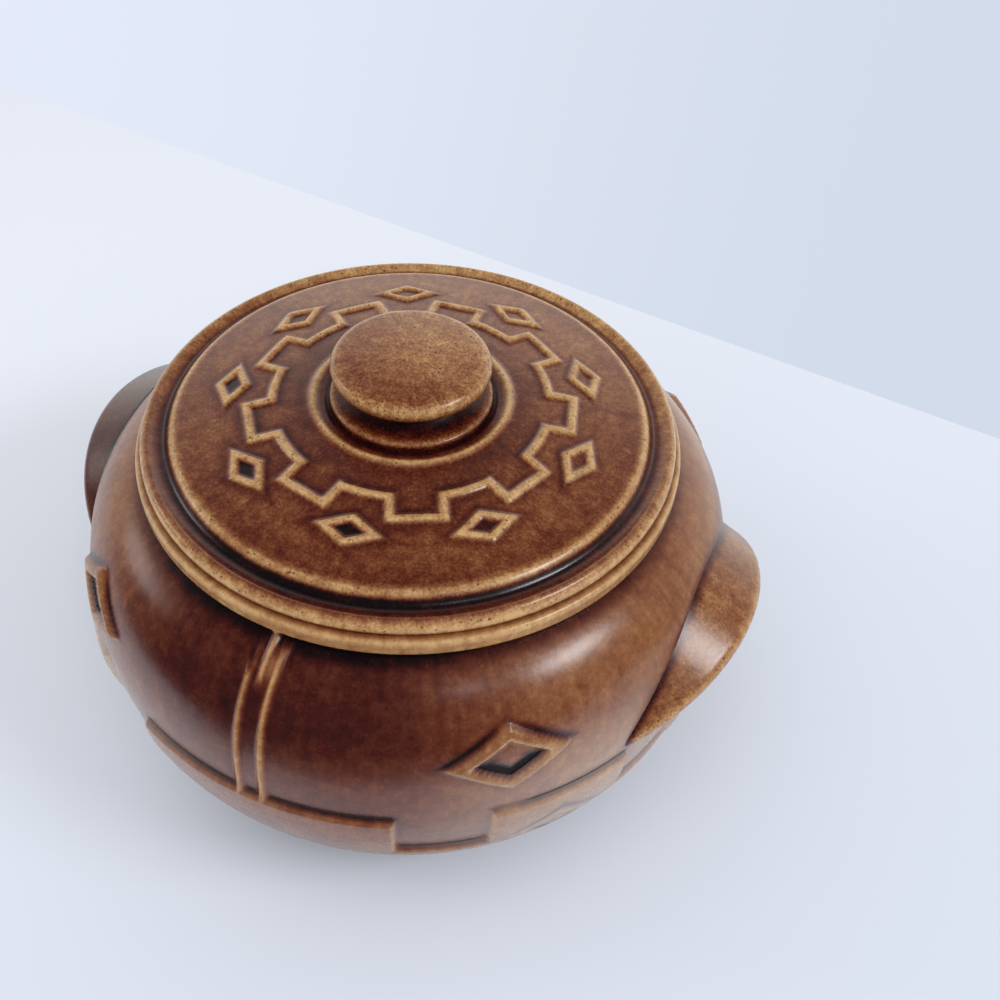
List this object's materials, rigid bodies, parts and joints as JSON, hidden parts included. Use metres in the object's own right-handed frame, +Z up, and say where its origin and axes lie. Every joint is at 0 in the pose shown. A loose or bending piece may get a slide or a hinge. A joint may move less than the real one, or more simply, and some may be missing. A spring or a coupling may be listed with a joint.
{
  "type": "lidded bean pot",
  "caption": "Squat round glazed stoneware bean pot with a lift-off domed lid, a disc knob, two drooping lug handles and raised geometric ornament.",
  "frame": {"origin": "under the middle of the foot, on the surface that the pot stands on", "axes": "+Z up along the pot's axis; the two lug handles lie along +X and -X; +Y is away from the side with the strap that faces the user"},
  "size_m": [0.2124, 0.1956, 0.1432],
  "materials": {
    "pot_body": "gloss brown glaze, tan where it breaks on edges",
    "handle_right": "gloss brown glaze, tan where it breaks on edges",
    "handle_left": "gloss brown glaze, tan where it breaks on edges",
    "lid": "gloss brown glaze, tan where it breaks on edges",
    "lid_knob": "gloss brown glaze, tan where it breaks on edges"
  },
  "bodies": {
    "pot": {"pot_body": "pot_body", "handle_right": "handle_right", "handle_left": "handle_left"},
    "lid": {"lid": "lid", "lid_knob": "lid_knob"}
  },
  "joints": [
    {"name": "lid_lift", "type": "slide", "parent": "pot", "child": "lid", "axis": [0, 0, 1], "range_m": [0, 0.08]}
  ]
}
